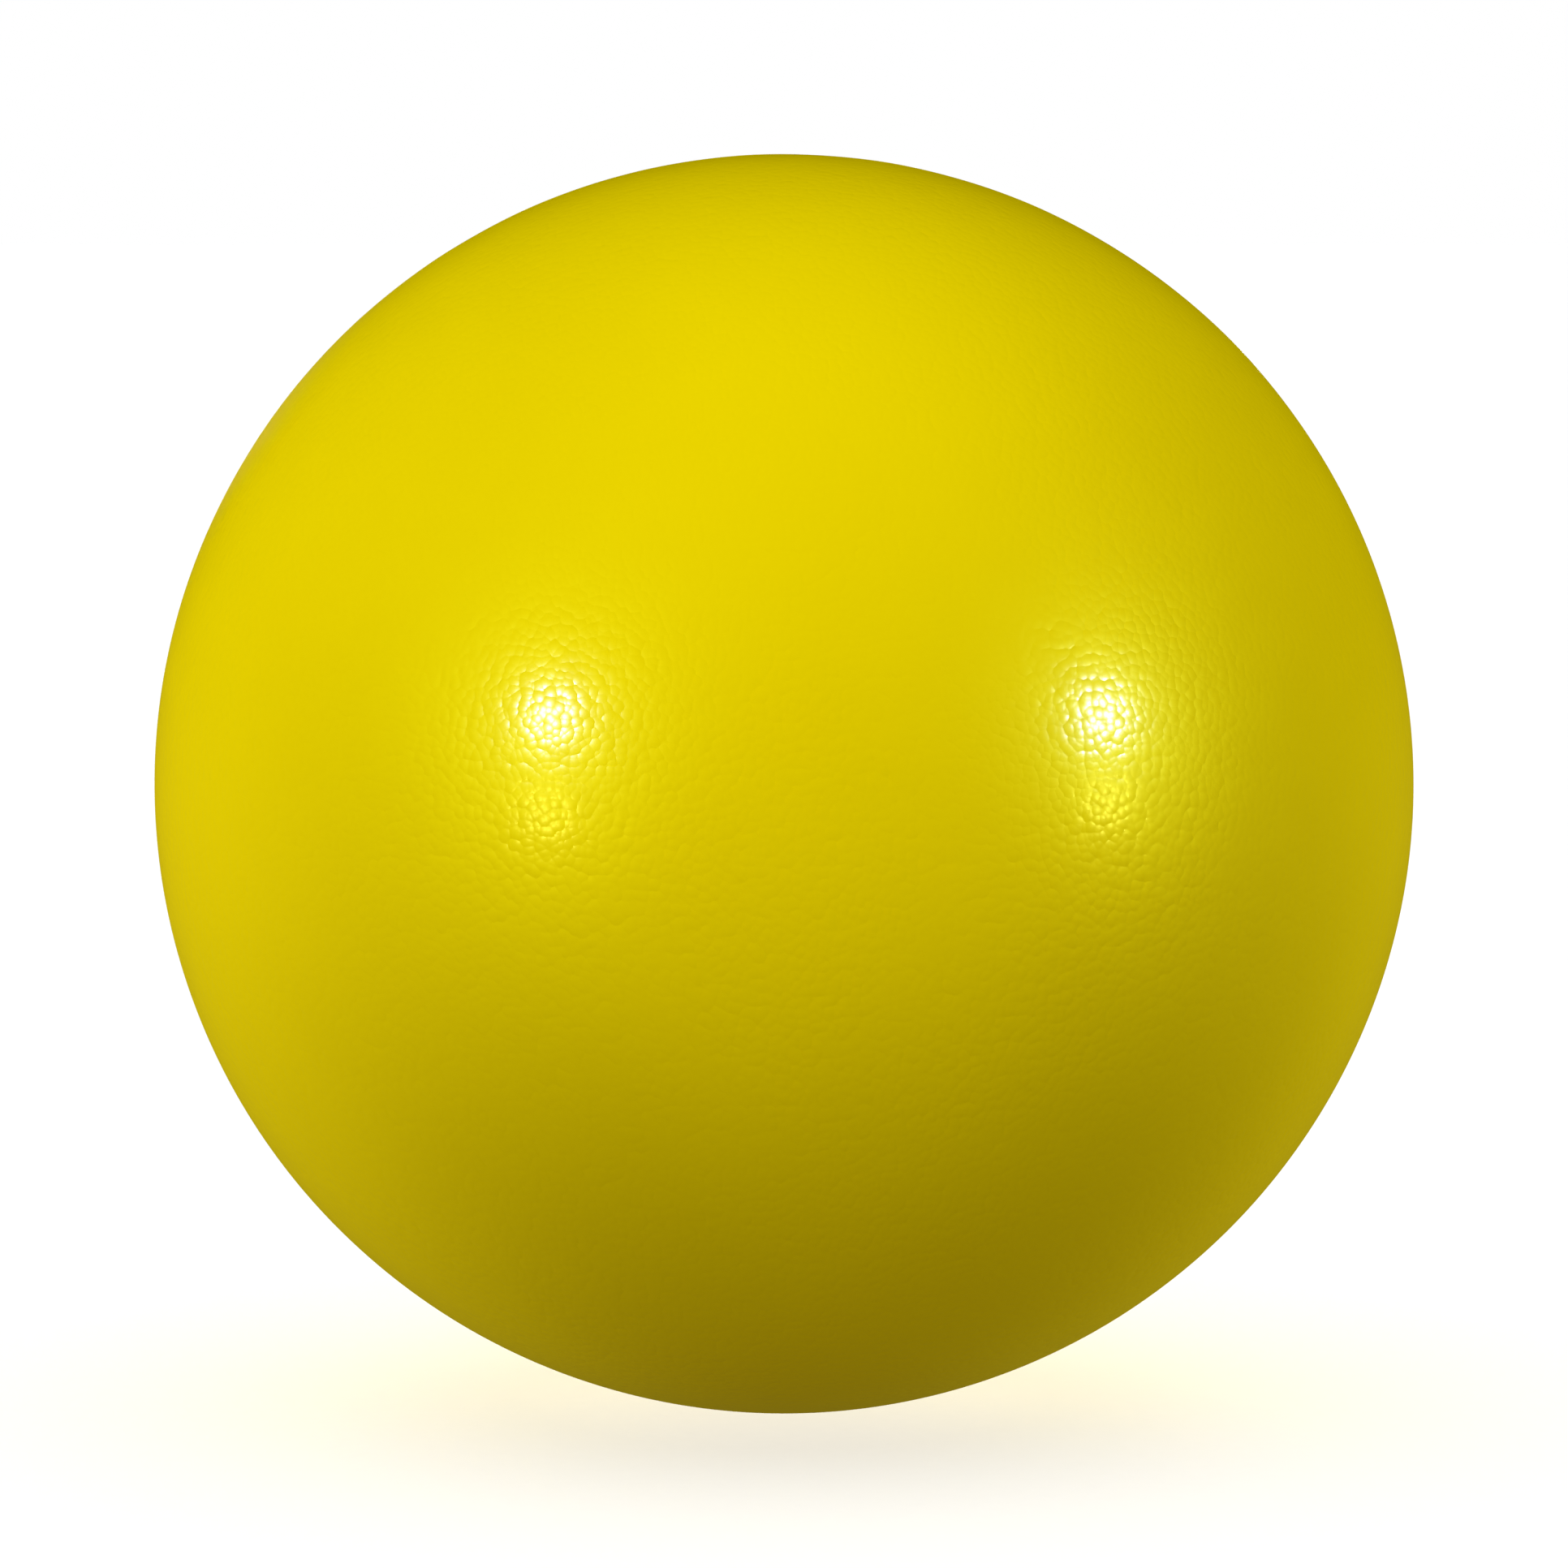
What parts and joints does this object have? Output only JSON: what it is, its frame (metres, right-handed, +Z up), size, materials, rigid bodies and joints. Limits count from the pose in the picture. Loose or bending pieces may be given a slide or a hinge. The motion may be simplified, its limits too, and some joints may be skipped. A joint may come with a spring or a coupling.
{
  "type": "playground ball",
  "caption": "Inflated rubber playground ball resting on its contact patch, with a moulded cover, wound carcass, bladder and a self-sealing needle valve with a pull-out insert.",
  "frame": {"origin": "the middle of the flat contact patch that the ball rests on", "axes": "+Z up through the ball's centre, +Y out along the valve's axis, the mould's parting plane is XZ"},
  "size_m": [0.216, 0.2159, 0.2151],
  "materials": {
    "cover_rubber": "satin, moulded with a fine stipple",
    "nylon_thread": "wound thread set in latex",
    "ring_rubber": "matte, calendered sheet",
    "butyl_rubber": "matte with a dusting of talc",
    "valve_rubber": "smooth moulded",
    "insert_rubber": "smooth moulded, slightly glossy"
  },
  "bodies": {
    "ball": {"cover_front_half": "cover_rubber", "cover_valve_half": "cover_rubber", "thread_winding": "nylon_thread", "valve_reinforcing_ring": "ring_rubber", "bladder_front_half": "butyl_rubber", "bladder_valve_half": "butyl_rubber", "valve_body": "valve_rubber"},
    "insert": {"valve_insert": "insert_rubber"}
  },
  "joints": [
    {"name": "insert_pull", "type": "slide", "parent": "ball", "child": "insert", "axis": [0, 1, 0], "range_m": [0, 0.02]}
  ]
}
